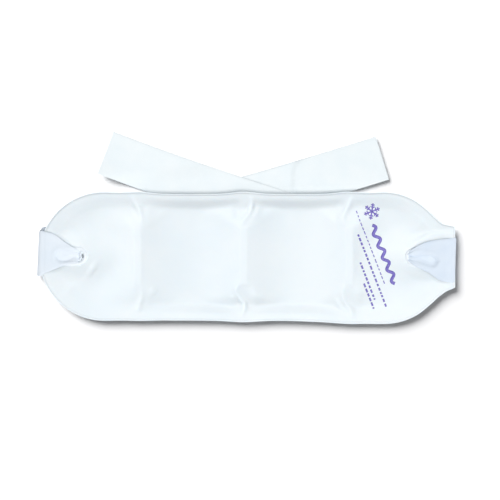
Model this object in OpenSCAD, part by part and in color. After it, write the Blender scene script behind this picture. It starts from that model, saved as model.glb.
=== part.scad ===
// Cold compression wrap: a gel pad of welded film with four chambers that fold
// at three welds, an eyelet near each end, and one strap band threaded through
// both eyelets, round the pad's ends and diagonally across its back.
// The wrap lies face up on its strap. Z is 0 on the surface it rests on.

/* [Gel pad] */
// Length of the pad over its round ends
pad_l = 386; // [380:1:390]
// Width of the pad
pad_w = 121; // [118:1:124]
// Height of the pad's crown above the resting surface
pad_top = 15; // [13:0.5:17]
// Height of the welded seam, where the front and back films meet
seam_z = 7; // [6.5:0.1:7.5]
// Thickness of each film
film_t = 0.4; // [0.3:0.05:0.5]
// Width of the flat weld round the pad's edge
flange_w = 3; // [2.5:0.5:4]

/* [Chamber welds] */
// Distance between the chamber welds
weld_pitch = 98.5; // [96:0.5:100]
// Position of the middle weld along the pad
weld_mid_x = -2.5; // [-4:0.5:4]
// Length of each weld bar across the pad
bar_l = 54; // [40:1:64]
// Width of each weld bar
bar_w = 6; // [4:0.5:8]

/* [Eyelets] */
// Distance of each eyelet from the pad's centre
eyelet_x = 164.4; // [162:0.2:166]
// Length of the eyelet ring along the pad
ring_l = 33; // [30:1:36]
// Width of the eyelet ring across the pad
ring_w = 18; // [16:1:20]
// Width of the ring's own wall
ring_wall = 3.6; // [3:0.2:4]
// Height of the eyelet ring
ring_h = 2.8; // [2.4:0.2:3]

/* [Strap] */
// Width of the strap band
strap_w = 42; // [38:1:44]
// Thickness of the strap band
strap_t = 0.8; // [0.6:0.1:0.8]
// Clearance between strap layers
layer_gap = 0.3; // [0.25:0.05:0.35]
// Radius of the rounded corner at the folded end of the strap
tab_r = 16.5; // [12:0.5:18]
// Length of the hook patch on the folded end
hook_l = 40; // [30:1:42]

/* [Hidden] */

// Half sizes, the pad's end radius and the centres of its round ends
half_l = pad_l / 2;
end_r = pad_w / 2;
core_x = half_l - end_r;
// Places of the three chamber welds, and the limits of the four chambers
welds = [for (i = [-1:1]) weld_mid_x + i * weld_pitch];
cuts = [-half_l, welds[0], welds[1], welds[2], half_l];
// Half of the slit between two chambers, at the fold's axis
slit = 0.2;
// Rise of the front film above the seam, and of the steepest side by a fold
crown = pad_top - seam_z - film_t;
fold_slope = 1.05;
// Distances over which the films round off from the edge and from the eyelets
front_round = 24;
back_round = 18;
ring_round = 14;
// Depth of the back film below the seam over the strap, and more at its belly
back_depth = seam_z - film_t - 3 * strap_t - 2 * layer_gap - 0.4;
belly_depth = seam_z - film_t - back_depth;
belly_y = -26;
belly_run = 8;
// Half width of the fanned strap that presses the front film down by an eyelet
fan_start = eyelet_x - 6;
fan_rate = 0.53;
fan_min = 8;
press_rise = 0.4;
press_slope = 0.6;
// Grid of each film and gel surface: distances from a fold, steps from the last
// of them to a round end, and steps across the pad
fold_steps = [0, bar_w / 2, 7.3, 10.4, 20, 34];
end_steps = 8;
grid_y = 16;
gel_start = 2;

// Heights of the strap layers from the resting surface up
rear_z = 0;
next_z = rear_z + strap_t + layer_gap;
span_z = next_z + strap_t + layer_gap;
// The folded end of the right tail: the tab below, the hook patch, the tail above
hook_t = 0.4;
folded_z = strap_t + hook_t + 0.2;

// Centre lines of the two tails as y = a + b x + c x^2, and where they end
right_tail = [53.5, 0.286, 0.0001034];
left_tail = [50.4, -0.3231, 0.000207];
right_end_x = 126.4;
left_end_x = -130;
// Lines along which the tail ends lift, from one strap edge to the other
right_fold = [[5, 76.9], [106, 64]];
left_fold = [[-15, 77.8], [-100, 63]];
fold_gap = 0.2;
tail_step = 9;

function slope_at(line, x) = line[1] + 2 * line[2] * x;
function centre_y(line, x) = line[0] + line[1] * x + line[2] * x * x;
function edge_y(line, x, side) =
    centre_y(line, x) + side * strap_w / 2 * sqrt(1 + pow(slope_at(line, x), 2));
function corner(line, x, side) =
    let (s = slope_at(line, x), n = sqrt(1 + s * s))
    [x - side * s / n * strap_w / 2, centre_y(line, x) + side * strap_w / 2 / n];
function fold_y(fold, x) =
    fold[0][1] + (x - fold[0][0]) * (fold[1][1] - fold[0][1]) / (fold[1][0] - fold[0][0]);

// The frame's origin is the centre of the whole outline on the resting surface
pad_y = -(corner(left_tail, left_end_x, 1)[1] - end_r) / 2;

// Distance inside the weld round the edge, outside the nearest eyelet ring,
// and from the nearest fold between chambers
function edge_in(x, y) = end_r - flange_w - norm([max(0, abs(x) - core_x), y]);
function ring_out(x, y) =
    norm([max(0, abs(abs(x) - eyelet_x) - (ring_l - ring_w) / 2), y]) - ring_w / 2;
function fold_out(x) = min([for (w = welds) abs(x - w)]) - slit;
function arch(t) = sin(90 * min(1, max(0, t)));
function ease(t) = let (u = min(1, max(0, t))) u * u * (3 - 2 * u);
function bar_in(y) = bar_w / 2 * ease((bar_l / 2 + bar_w - abs(y)) / bar_w);
function press(x, y) =
    abs(x) < fan_start ? crown :
    press_rise + press_slope * max(0, abs(y) - fan_min - fan_rate * (abs(x) - fan_start));

// Height of the front film's outer face, and of the back film's
function front_z(x, y) = seam_z + film_t + max(0, min(
    crown * arch(edge_in(x, y) / front_round),
    crown * arch(ring_out(x, y) / ring_round),
    fold_slope * (fold_out(x) - bar_in(y)),
    press(x, y)));
function depth_at(y) = back_depth + belly_depth * ease((belly_y - y) / belly_run);
function back_z(x, y) = seam_z - film_t - max(0, depth_at(y) * min(
    arch(edge_in(x, y) / back_round),
    arch(ring_out(x, y) / ring_round),
    arch((fold_out(x) - bar_in(y)) / bar_w)));

// Half width of the pad's outline at x
function outline_y(x) =
    let (e = max(0, abs(x) - core_x))
    sqrt(max(0.5, end_r * end_r - e * e));

// Chamber n's grid positions along X, in rising order. The steps crowd together
// towards a round end, where the outline turns
fold_count = len(fold_steps);
function end_offsets(n) =
    let (reach = half_l - abs(cuts[n == 1 ? 1 : 3]) - slit, last = fold_steps[fold_count - 1])
    concat(fold_steps,
        [for (k = [1:end_steps]) last + (reach - last) * sin(90 * k / end_steps)]);
function mid_offsets(reach) =
    concat(fold_steps, [reach / 2],
        [for (k = [fold_count - 1:-1:0]) reach - fold_steps[k]]);
function reversed(list) = [for (k = [len(list) - 1:-1:0]) list[k]];
function chamber_xs(n) =
    n == 1 ? reversed([for (d = end_offsets(n)) cuts[1] - slit - d]) :
    n == 4 ? [for (d = end_offsets(n)) cuts[3] + slit + d] :
    [for (d = mid_offsets(cuts[n] - cuts[n - 1] - 2 * slit)) cuts[n - 1] + slit + d];

// A closed solid between two height functions, over the grid positions xs and
// over the rows across the pad that are left when skip rows go at each side
module slab(xs, skip, kind) {
    nx = len(xs) - 1;
    row = grid_y - 2 * skip + 1;
    level = (nx + 1) * row;
    spots = [for (x = xs, j = [skip:grid_y - skip])
        [x, -outline_y(x) * cos(180 * j / grid_y)]];
    lower = [for (p = spots) [p[0], p[1], surface_z(kind, 0, p[0], p[1])]];
    upper = [for (p = spots) [p[0], p[1], surface_z(kind, 1, p[0], p[1])]];
    quads = [for (i = [0:nx - 1], j = [0:row - 2])
        [i * row + j, (i + 1) * row + j, (i + 1) * row + j + 1, i * row + j + 1]];
    rim = concat(
        [for (i = [0:nx - 1]) i * row],
        [for (j = [0:row - 2]) nx * row + j],
        [for (i = [nx:-1:1]) i * row + row - 1],
        [for (j = [row - 1:-1:1]) j]);
    faces = concat(
        [for (q = quads) each [[q[0], q[1], q[2]], [q[0], q[2], q[3]]]],
        [for (q = quads) each [
            [level + q[2], level + q[1], level + q[0]],
            [level + q[3], level + q[2], level + q[0]]]],
        [for (k = [0:len(rim) - 1])
            let (a = rim[k], b = rim[(k + 1) % len(rim)])
            each [[b, a, level + a], [b, level + a, level + b]]]);
    polyhedron(points = concat(lower, upper), faces = faces);
}

// Lower (0) and upper (1) face of a front film, a back film or a gel filling
gel_gap = 0.05;
function surface_z(kind, side, x, y) =
    kind == "front" ? front_z(x, y) - (side == 0 ? film_t : 0) :
    kind == "back" ? back_z(x, y) + (side == 0 ? 0 : film_t) :
    side == 1 ? max(seam_z + 0.1, front_z(x, y) - film_t - gel_gap) :
    min(seam_z - 0.1, back_z(x, y) + film_t + gel_gap);

module stadium(length, width) {
    run = (length - width) / 2;
    for (side = [-1, 1]) translate([side * run, 0]) circle(d = width, $fn = 48);
    square([2 * run, width], center = true);
}

// Cuts an eyelet's hole, wider by extra all round, out of what it is given
module less_eyelets(extra) {
    difference() {
        children();
        for (side = [-1, 1])
            translate([side * eyelet_x, 0, -1])
                linear_extrude(pad_top + 2)
                    stadium(ring_l + 2 * extra, ring_w + 2 * extra);
    }
}

module placed() {
    translate([0, pad_y, 0]) children();
}

module film(n, kind) {
    placed()
        if (n == 1 || n == 4)
            less_eyelets(0) slab(chamber_xs(n), 0, kind);
        else
            slab(chamber_xs(n), 0, kind);
}

// The gel keeps to the films' own grid, and stops short of the welds and the edge
gel_reach = eyelet_x + 13;
module gel(n) {
    xs = [for (x = chamber_xs(n))
        if (fold_out(x) > fold_steps[gel_start] - 0.1 && abs(x) < gel_reach) x];
    placed()
        if (n == 1 || n == 4)
            less_eyelets(1.5) slab(xs, 3, "gel");
        else
            slab(xs, 2, "gel");
}

module eyelet_ring(side) {
    placed()
        translate([side * eyelet_x, 0, seam_z - ring_h / 2])
            linear_extrude(ring_h)
                difference() {
                    stadium(ring_l, ring_w);
                    stadium(ring_l - 2 * ring_wall, ring_w - 2 * ring_wall);
                }
}

// Strap from an eyelet, fanning out over the pad's end and round it to the back.
// Each step: distance from the centre, height, half width, side shift
wrap_x = half_l + 2.2;
front_lift = seam_z + ring_h / 2 + 0.5 + strap_t / 2;
function wrap_path(fan_y, under_y, under_z) = [
    [eyelet_x - 8, front_lift, 4.6, 0],
    [eyelet_x + 4, front_lift + 0.1, 9, fan_y * 0.3],
    [eyelet_x + 15, front_lift + 0.1, 14.5, fan_y * 0.6],
    [half_l - 4, front_lift, 19.5, fan_y],
    [half_l + 0.6, seam_z + 1.4, 21, fan_y],
    [wrap_x, seam_z - 0.6, strap_w / 2, fan_y],
    [wrap_x, seam_z - 2.6, strap_w / 2, fan_y],
    [half_l + 0.4, under_z + strap_t / 2 + 1.2, strap_w / 2, (fan_y + under_y) / 2],
    [half_l - 5, under_z + strap_t / 2, strap_w / 2, under_y],
    [half_l - 17, under_z + strap_t / 2, strap_w / 2, under_y]
];

module ribbon(path) {
    last = len(path) - 1;
    points = [for (k = [0:last])
        let (
            p = path[k],
            a = path[max(0, k - 1)],
            b = path[min(last, k + 1)],
            d = [b[0] - a[0], b[1] - a[1]] / norm([b[0] - a[0], b[1] - a[1]]),
            n = [-d[1], d[0]] * strap_t / 2)
        each [
            [p[0] - n[0], p[3] - p[2], p[1] - n[1]],
            [p[0] - n[0], p[3] + p[2], p[1] - n[1]],
            [p[0] + n[0], p[3] + p[2], p[1] + n[1]],
            [p[0] + n[0], p[3] - p[2], p[1] + n[1]]]];
    sides = [for (k = [0:last - 1], j = [0:3])
        let (a = 4 * k + j, b = 4 * k + (j + 1) % 4)
        each [[a, a + 4, b + 4], [a, b + 4, b]]];
    ends = [[0, 1, 2], [0, 2, 3],
        [4 * last + 2, 4 * last + 1, 4 * last], [4 * last + 3, 4 * last + 2, 4 * last]];
    polyhedron(points = points, faces = concat(sides, ends));
}

// The strap gathered into a bundle that fills the eyelet
bundle_gap = 0.8;
module bundle() {
    bottom = span_z + strap_t;
    translate([eyelet_x, 0, bottom])
        linear_extrude(front_lift - bottom)
            stadium(ring_l - 2 * ring_wall - 3, ring_w - 2 * ring_wall - 2 * bundle_gap);
}

wrap_end = half_l - 17;
left_fan_y = 2.4;
right_fan_y = -4;
module strap_wrap_left() {
    color([0.93, 0.96, 0.98])
        placed()
            mirror([1, 0, 0]) {
                ribbon(wrap_path(left_fan_y, centre_y(right_tail, -wrap_end), rear_z));
                bundle();
            }
}
module strap_wrap_right() {
    color([0.93, 0.96, 0.98])
        placed() {
            ribbon(wrap_path(right_fan_y, centre_y(left_tail, wrap_end), next_z));
            bundle();
        }
}

// Straight run of the strap behind the pad, from eyelet to eyelet
module span(n) {
    from = n == 1 ? -eyelet_x - 10 : cuts[n - 1] + slit;
    to = n == 4 ? eyelet_x + 10 : cuts[n] - slit;
    color([0.91, 0.94, 0.97])
        placed()
            translate([from, -strap_w / 2, span_z])
                cube([to - from, strap_w, strap_t]);
}

// A stretch of a tail behind the pad, no higher than the line where its end lifts
module tail(line, fold, from, to, z) {
    steps = ceil((to - from) / tail_step);
    xs = [for (k = [0:steps]) from + (to - from) * k / steps];
    low = [for (x = xs) [x, edge_y(line, x, -1)]];
    high = [for (x = xs)
        let (top = edge_y(line, x, 1), cut = fold_y(fold, x) - fold_gap)
        [x, in_fold(fold, x) ? min(top, cut) : top]];
    color([0.91, 0.94, 0.97])
        placed()
            translate([0, 0, z])
                linear_extrude(strap_t)
                    polygon(concat(low, [for (k = [steps:-1:0]) high[k]]));
}
function in_fold(fold, x) = abs(x) > abs(fold[0][0]) && x * fold[0][0] > 0;

// Outline of a tail's free end, from the lifting line to its square end
function free_outline(line, fold, end_x) =
    let (
        dir = sign(end_x),
        foot = fold[1][0] + dir * 1,
        run = corner(line, end_x, 1)[0] - fold[0][0],
        steps = ceil(abs(run) / tail_step))
    concat(
        [[fold[0][0], fold[0][1] + fold_gap],
        [foot, max(fold_y(fold, foot) + fold_gap, edge_y(line, foot, -1))]],
        [corner(line, end_x, -1), corner(line, end_x, 1)],
        [for (k = [steps - 1:-1:1])
            let (x = fold[0][0] + run * k / steps) [x, edge_y(line, x, 1)]]);

// Outline of the folded-under end: a rounded corner, then the strap's top edge
tab_start = [60, 75.3];
// Centre of the hook patch along the tail, and its shift towards the top edge
hook_x = 97;
hook_rise = 3.5;
function tab_outline() =
    let (
        fold = right_fold,
        inner = corner(right_tail, right_end_x - 0.4, 1),
        outer = corner(right_tail, right_end_x - 0.4, -1))
    concat(
        [for (a = [184:-11:107]) tab_start + tab_r * [cos(a), sin(a)]],
        [for (x = [65, 85, 105]) [x, edge_y(right_tail, x, 1) - 0.3]],
        [inner, outer],
        [[fold[1][0] + 2, fold_y(fold, fold[1][0] + 2) + 2],
        [tab_start[0] - tab_r + 3, fold_y(fold, tab_start[0] - tab_r + 3) + 0.8]]);

module right_tail_end() {
    color([0.93, 0.96, 0.98])
        placed()
            translate([0, 0, folded_z])
                linear_extrude(strap_t)
                    polygon(free_outline(right_tail, right_fold, right_end_x));
}
module right_tail_tab() {
    color([0.91, 0.94, 0.97])
        placed()
            linear_extrude(strap_t)
                polygon(tab_outline());
}
module hook_patch() {
    color([0.86, 0.88, 0.9])
        placed()
            translate([hook_x, centre_y(right_tail, hook_x) + hook_rise, strap_t])
                rotate([0, 0, atan(slope_at(right_tail, hook_x))])
                    linear_extrude(hook_t)
                        square([hook_l, strap_w * 0.55], center = true);
}
module left_tail_end() {
    color([0.93, 0.96, 0.98])
        placed()
            translate([0, 0, next_z])
                linear_extrude(strap_t)
                    polygon(free_outline(left_tail, left_fold, left_end_x));
}

module front_film(n) color([0.94, 0.97, 0.99]) film(n, "front");
module back_film(n) color([0.9, 0.94, 0.97]) film(n, "back");
module gel_fill(n) color([0.62, 0.82, 0.93]) gel(n);
module ring(side) color([0.96, 0.98, 1]) eyelet_ring(side);

function tail_from(n) = n == 1 ? -wrap_end : cuts[n - 1] + slit;
module right_tail_part(n) {
    to = n == 3 ? right_fold[1][0] + 1 : cuts[n] - slit;
    tail(right_tail, right_fold, tail_from(n), to, rear_z);
}
module left_tail_part(n) {
    from = n == 2 ? left_fold[1][0] + 1 : cuts[n - 1] + slit;
    to = n == 4 ? wrap_end : cuts[n] - slit;
    tail(left_tail, left_fold, from, to, next_z);
}

front_film(1);  // front_film_1
front_film(2);  // front_film_2
front_film(3);  // front_film_3
front_film(4);  // front_film_4
back_film(1);  // back_film_1
back_film(2);  // back_film_2
back_film(3);  // back_film_3
back_film(4);  // back_film_4
gel_fill(1);  // gel_fill_1
gel_fill(2);  // gel_fill_2
gel_fill(3);  // gel_fill_3
gel_fill(4);  // gel_fill_4
ring(-1);  // eyelet_ring_left
ring(1);  // eyelet_ring_right
strap_wrap_left();
strap_wrap_right();
span(1);  // strap_span_1
span(2);  // strap_span_2
span(3);  // strap_span_3
span(4);  // strap_span_4
right_tail_part(1);  // right_tail_1
right_tail_part(2);  // right_tail_2
right_tail_part(3);  // right_tail_3
right_tail_end();
right_tail_tab();
hook_patch();
left_tail_part(2);  // left_tail_2
left_tail_part(3);  // left_tail_3
left_tail_part(4);  // left_tail_4
left_tail_end();
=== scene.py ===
import math

import bmesh
import bpy
import numpy as np
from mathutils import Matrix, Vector
from mathutils.bvhtree import BVHTree


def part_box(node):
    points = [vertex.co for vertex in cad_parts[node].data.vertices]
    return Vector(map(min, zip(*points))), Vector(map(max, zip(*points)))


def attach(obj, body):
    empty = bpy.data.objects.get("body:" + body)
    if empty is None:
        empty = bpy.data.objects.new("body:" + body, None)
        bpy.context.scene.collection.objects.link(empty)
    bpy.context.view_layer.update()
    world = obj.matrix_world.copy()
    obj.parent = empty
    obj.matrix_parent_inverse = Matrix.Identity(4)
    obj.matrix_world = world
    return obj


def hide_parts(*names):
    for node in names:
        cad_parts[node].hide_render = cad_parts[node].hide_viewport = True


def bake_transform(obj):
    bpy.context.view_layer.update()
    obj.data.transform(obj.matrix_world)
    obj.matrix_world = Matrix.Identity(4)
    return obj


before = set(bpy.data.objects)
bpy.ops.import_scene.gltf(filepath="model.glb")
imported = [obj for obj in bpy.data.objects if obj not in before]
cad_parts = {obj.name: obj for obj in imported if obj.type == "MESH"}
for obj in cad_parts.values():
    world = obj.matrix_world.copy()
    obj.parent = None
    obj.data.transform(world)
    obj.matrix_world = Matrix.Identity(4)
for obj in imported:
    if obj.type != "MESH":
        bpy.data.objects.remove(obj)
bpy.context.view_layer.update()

# Everything below is worked out in millimetres in the pad's own frame: X along
# the pad, Y across it from its centre line, Z up from the surface it rests on.
MM = 0.001


def node_box(name):
    lo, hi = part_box(name)
    return np.array(lo) / MM, np.array(hi) / MM


film_lo, film_hi = node_box("front_film_2")
ring_lo, ring_hi = node_box("eyelet_ring_right")
end_lo, end_hi = node_box("front_film_4")
PAD_Y = (film_lo[1] + film_hi[1]) / 2
END_R = (film_hi[1] - film_lo[1]) / 2
HALF_L = end_hi[0]
CORE_X = HALF_L - END_R
SEAM_Z = (ring_lo[2] + ring_hi[2]) / 2
PAD_TOP = film_hi[2]
FILM_T = 0.4
EYELET_X = (ring_lo[0] + ring_hi[0]) / 2
RING_L = ring_hi[0] - ring_lo[0]
RING_W = ring_hi[1] - ring_lo[1]
RING_H = ring_hi[2] - ring_lo[2]
RING_WALL = 3.6
WELDS = [
    (node_box(f"front_film_{n}")[1][0] + node_box(f"front_film_{n + 1}")[0][0]) / 2
    for n in (1, 2, 3)
]
CUTS = [(WELDS[0] + WELDS[1]) / 2, (WELDS[1] + WELDS[2]) / 2]
BAR_L = 54
BAR_W = 6
FLANGE_W = 3
STRAP_W = node_box("strap_span_2")[1][1] - node_box("strap_span_2")[0][1]
STRAP_T = node_box("strap_span_2")[1][2] - node_box("strap_span_2")[0][2]
SPAN_Z = node_box("strap_span_2")[0][2]
REAR_Z = node_box("right_tail_2")[0][2]
NEXT_Z = node_box("left_tail_3")[0][2]

# Centre lines of the tails, y = a + b x + c x^2, where they end, and the lines
# along which their free ends lift
RIGHT_TAIL = (53.5, 0.286, 0.0001034)
LEFT_TAIL = (50.4, -0.3231, 0.000207)
RIGHT_END_X = 126.4
LEFT_END_X = -131.2
RIGHT_FOLD = ((5, 76.9), (106, 64))
LEFT_FOLD = ((-15, 77.8), (-100, 63))
WRAP_END = HALF_L - 17
# The folded-under end: centre and radius of its rounded corner, the step up onto
# it, and the hook patch on it
TAB_START = (60, 75.3)
TAB_R = 16.5
FOLD_RISE = node_box("right_tail_end")[0][2] - REAR_Z
HOOK_X = 97
HOOK_L = 40
HOOK_W = STRAP_W * 0.55
HOOK_RISE = 3.5
# Half width of the bend where a tail's end lifts
LIFT_BAND = 1.6
# How far the straight run behind the pad reaches, and half its width where it is
# gathered in the eyelets
SPAN_REACH = EYELET_X - 6
GATHER_HALF = 4.2
# The pad's zones between two cuts, and the CAD slices in each
ZONES = ["left", "middle", "right"]
OWNED = [[1], [2], [3, 4]]


# ---------------------------------------------------------------- small helpers
def ease(t):
    t = np.clip(t, 0, 1)
    return t * t * (3 - 2 * t)


def soft_min(a, b, r):
    d = np.clip(0.5 + (b - a) / (2 * r), 0, 1)
    return b + (a - b) * d - r * d * (1 - d)


def through(points, at):
    """Smooth curve through a few points (x rising), read at the given x."""
    px, py = np.array(points, float).T
    slopes = np.gradient(py, px)
    k = np.clip(np.searchsorted(px, at) - 1, 0, len(px) - 2)
    h = px[k + 1] - px[k]
    t = np.clip((at - px[k]) / h, 0, 1)
    return (
        py[k] * (1 + 2 * t) * (1 - t) ** 2
        + slopes[k] * h * t * (1 - t) ** 2
        + py[k + 1] * t * t * (3 - 2 * t)
        + slopes[k + 1] * h * t * t * (t - 1)
    )


def smooth_line(points, count=28):
    """Points along a smooth curve through a few points in the plane."""
    p = np.array(points, float)
    along = np.concatenate([[0], np.cumsum(np.hypot(*np.diff(p, axis=0).T))])
    at = np.linspace(0, along[-1], count)
    x = through(list(zip(along, p[:, 0])), at)
    y = through(list(zip(along, p[:, 1])), at)
    return np.stack([x, y], axis=1)


def near_curve(x, y, points):
    """Distance to a curve, side of it, and how far along it the nearest point is."""
    line = smooth_line(points)
    best = np.full(x.shape, 1e9)
    along = np.zeros(x.shape)
    side = np.zeros(x.shape)
    for k in range(len(line) - 1):
        a, d = line[k], line[k + 1] - line[k]
        t = np.clip(((x - a[0]) * d[0] + (y - a[1]) * d[1]) / (d @ d), 0, 1)
        gap_x = x - a[0] - t * d[0]
        gap_y = y - a[1] - t * d[1]
        gap = np.hypot(gap_x, gap_y)
        closer = gap < best
        best = np.where(closer, gap, best)
        along = np.where(closer, (k + t) / (len(line) - 1), along)
        side = np.where(closer, np.sign(d[0] * gap_y - d[1] * gap_x), side)
    return best, side, along


def ridge(x, y, points, width, height):
    """A rounded ridge (or with negative height a groove) along a curve."""
    gap, _, along = near_curve(x, y, points)
    return height * np.exp(-((gap / width) ** 2)) * np.sin(np.pi * (0.08 + 0.84 * along))


def ring_tilt(x):
    """The strap pulls the right eyelet a little askew: its axis across the pad."""
    return -0.2 * np.maximum(0, x - EYELET_X + RING_L / 2)


def eyelet_out(x, y):
    """Distance outside the outer edge of the nearest eyelet ring."""
    run = (RING_L - RING_W) / 2
    off = y - ring_tilt(x)
    return np.hypot(np.maximum(0, abs(abs(x) - EYELET_X) - run), off) - RING_W / 2


def in_scene(name, data):
    """A new object in the scene."""
    made = bpy.data.objects.new(name, data)
    bpy.context.scene.collection.objects.link(made)
    return made


def mesh_object(name, points, faces, loop_normals=None):
    """A mesh piece from points in the pad's frame, in millimetres."""
    mesh = bpy.data.meshes.new(name)
    placed = (np.array(points, float) + [0, PAD_Y, 0]) * MM
    mesh.from_pydata(placed.tolist(), [], faces)
    mesh.update()
    mesh.polygons.foreach_set("use_smooth", [True] * len(mesh.polygons))
    if loop_normals is not None:
        mesh.normals_split_custom_set(loop_normals)
    return in_scene(name, mesh)


def grid_normals(g):
    """Unit normals of a grid of points."""
    along = np.gradient(g, axis=0)
    across = np.gradient(g, axis=1)
    n = np.cross(along, across)
    return n / np.maximum(np.linalg.norm(n, axis=2, keepdims=True), 1e-9)


def quads_of(keep, index):
    """Faces of the grid cells to keep, from an array of point numbers."""
    faces = []
    for i, j in zip(*np.nonzero(keep)):
        faces.append((index[i, j], index[i + 1, j], index[i + 1, j + 1], index[i, j + 1]))
    return faces


def shell(name, outer, inner, keep=None):
    """A closed thin shell from two grids of points, joined round every open edge."""
    rows, cols = outer.shape[:2]
    if keep is None:
        keep = np.ones((rows - 1, cols - 1), bool)
    index = np.arange(rows * cols).reshape(rows, cols)
    top = quads_of(keep, index)
    low = [tuple(rows * cols + v for v in reversed(f)) for f in top]
    edges = {}
    for f in top:
        for a, b in zip(f, f[1:] + f[:1]):
            edges[(a, b)] = True
    walls = [
        (b, a, rows * cols + a, rows * cols + b) for a, b in edges if (b, a) not in edges
    ]
    points = np.concatenate([outer.reshape(-1, 3), inner.reshape(-1, 3)])
    up = grid_normals(outer).reshape(-1, 3)
    normals = np.concatenate([up, -up])
    loop_normals = [normals[v].tolist() for f in top + low for v in f]
    for f in walls:
        n = np.cross(points[f[1]] - points[f[0]], points[f[3]] - points[f[0]])
        n = (n / max(np.linalg.norm(n), 1e-9)).tolist()
        loop_normals += [n] * 4
    used = np.unique(np.array(top).ravel())
    used = np.concatenate([used, used + rows * cols])
    new = np.full(len(points), -1)
    new[used] = np.arange(len(used))
    faces = [tuple(int(new[v]) for v in f) for f in top + low + walls]
    return mesh_object(name, points[used], faces, loop_normals)


# ------------------------------------------------------------ the pad's own grid
def columns(step):
    """Places of the grid's columns, with some just at the weld bars and the cuts."""
    marks = [-CORE_X]
    for n, weld in enumerate(WELDS):
        marks += [weld - BAR_W / 2, weld + BAR_W / 2]
        marks += [CUTS[n]] if n < len(CUTS) else [CORE_X]
    xs = []
    for a, b in zip(marks, marks[1:]):
        n = max(1, round((b - a) / step))
        xs += [a + (b - a) * k / n for k in range(n)]
    return xs + [CORE_X]


def pad_grid(step):
    """Flat positions of the films' grid, and how near each is to the edge (1)."""
    flat = (END_R - FLANGE_W) / END_R
    across = round(2 * (END_R - FLANGE_W) / step / 2) * 2
    rows = [-1, *[-flat + 2 * flat * k / across for k in range(across + 1)], 1]
    rings = round(END_R * flat / step)
    reach = [flat * k / rings for k in range(1, rings + 1)] + [1]
    spots = [(-1, u) for u in reversed(reach)] + [(0, x) for x in columns(step)]
    spots += [(1, u) for u in reach]
    place = np.zeros((len(spots), len(rows), 2))
    edge = np.zeros((len(spots), len(rows)))
    for i, (end, u) in enumerate(spots):
        for j, v in enumerate(rows):
            if end == 0:
                place[i, j] = (u, v * END_R)
                edge[i, j] = abs(v)
                continue
            m = max(u, abs(v))
            turn = math.copysign(90 - 45 * u / abs(v), v) if abs(v) >= u else 45 * v / u
            turn = math.radians(turn)
            place[i, j] = (
                end * (CORE_X + m * END_R * math.cos(turn)),
                m * END_R * math.sin(turn),
            )
            edge[i, j] = m
    return place, edge, flat


# Half the gap that the simulation starts with, and where it stops
START_GAP = 0.4
LAST_FRAME = 18


def inflate(place, welded, hole):
    """Blows the two welded films apart by cloth simulation, and returns the rise
    of each grid point above the seam."""
    rows, cols = welded.shape
    top = np.arange(rows * cols).reshape(rows, cols)
    low = top.copy()
    low[~welded] = rows * cols + np.arange((~welded).sum())
    points = np.zeros((rows * cols + (~welded).sum(), 3))
    points[: rows * cols, :2] = place.reshape(-1, 2)
    points[rows * cols :, :2] = place[~welded]
    points[top[~welded], 2] = START_GAP
    points[low[~welded], 2] = -START_GAP
    faces = []
    for i in range(rows - 1):
        for j in range(cols - 1):
            if hole[i, j]:
                continue
            cell = [(i, j), (i + 1, j), (i + 1, j + 1), (i, j + 1)]
            faces.append([int(top[c]) for c in cell])
            if not all(welded[c] for c in cell):
                faces.append([int(low[c]) for c in reversed(cell)])
    mesh = bpy.data.meshes.new("blown_film")
    mesh.from_pydata((points * MM).tolist(), [], faces)
    film = in_scene("blown_film", mesh)
    loose = film.vertex_groups.new(name="loose")
    loose.add([int(v) for v in top[~welded]] + [int(v) for v in low[~welded]], 1, "REPLACE")
    cloth = film.modifiers.new("film", "CLOTH")
    s = cloth.settings
    s.quality = 6
    s.mass = 0.3
    s.air_damping = 2
    kinds = (("tension", 20, 15), ("compression", 20, 15), ("shear", 12, 15), ("bending", 1, 1))
    for kind, stiffness, damping in kinds:
        setattr(s, f"{kind}_stiffness", stiffness)
        setattr(s, f"{kind}_damping", damping)
    s.use_pressure = True
    s.uniform_pressure_force = 5
    s.vertex_group_pressure = "loose"
    s.effector_weights.gravity = 0
    cloth.collision_settings.use_collision = False
    cloth.point_cache.frame_end = LAST_FRAME
    for n in range(1, LAST_FRAME + 1):
        bpy.context.scene.frame_set(n)
    done = film.evaluated_get(bpy.context.evaluated_depsgraph_get()).to_mesh()
    height = np.array([v.co.z for v in done.vertices]) / MM
    bpy.context.scene.frame_set(1)
    bpy.data.objects.remove(film)
    return (height[top] - height[low]) / 2


def relax(rise, welded, rounds):
    """Evens out the rise, a little more with each round."""
    for _ in range(rounds):
        around = sum(np.roll(rise, way, axis) for axis in (0, 1) for way in (1, -1)) / 4
        rise = np.where(welded, rise, 0.5 * rise + 0.5 * around)
    return rise


def finer(grid):
    """The grid with a smooth new point between each two, along both directions."""
    for axis in (0, 1):
        g = np.moveaxis(grid, axis, 0)
        padded = np.concatenate([2 * g[:1] - g[1:2], g, 2 * g[-1:] - g[-2:-1]])
        middle = (9 * (padded[1:-2] + padded[2:-1]) - padded[:-3] - padded[3:]) / 16
        out = np.empty((2 * len(g) - 1, *g.shape[1:]))
        out[::2] = g
        out[1::2] = middle
        grid = np.moveaxis(out, 0, axis)
    return grid


# ----------------------------------------------------- the pad's outline and form
UPPER_END = [(23.7, 67.9), (29, 60.4), (38, 56.6), (50, 56.2), (70, 57.9), (90, 59.6)]
LOWER_END = [(25.4, 68.9), (30, 64.3), (36, 61.3), (48, 59.8), (65, 61.2), (90, 63.2)]
END_FACE = 62.2


def end_radius(turn):
    """Radius of the right end's outline by angle, where the strap pulls it in."""
    size = np.degrees(abs(turn))
    table = np.where(turn > 0, through(UPPER_END, size), through(LOWER_END, size))
    corner = np.where(turn > 0, UPPER_END[0][0], LOWER_END[0][0])
    return np.where(size < corner, END_FACE / np.cos(turn), table)


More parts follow.
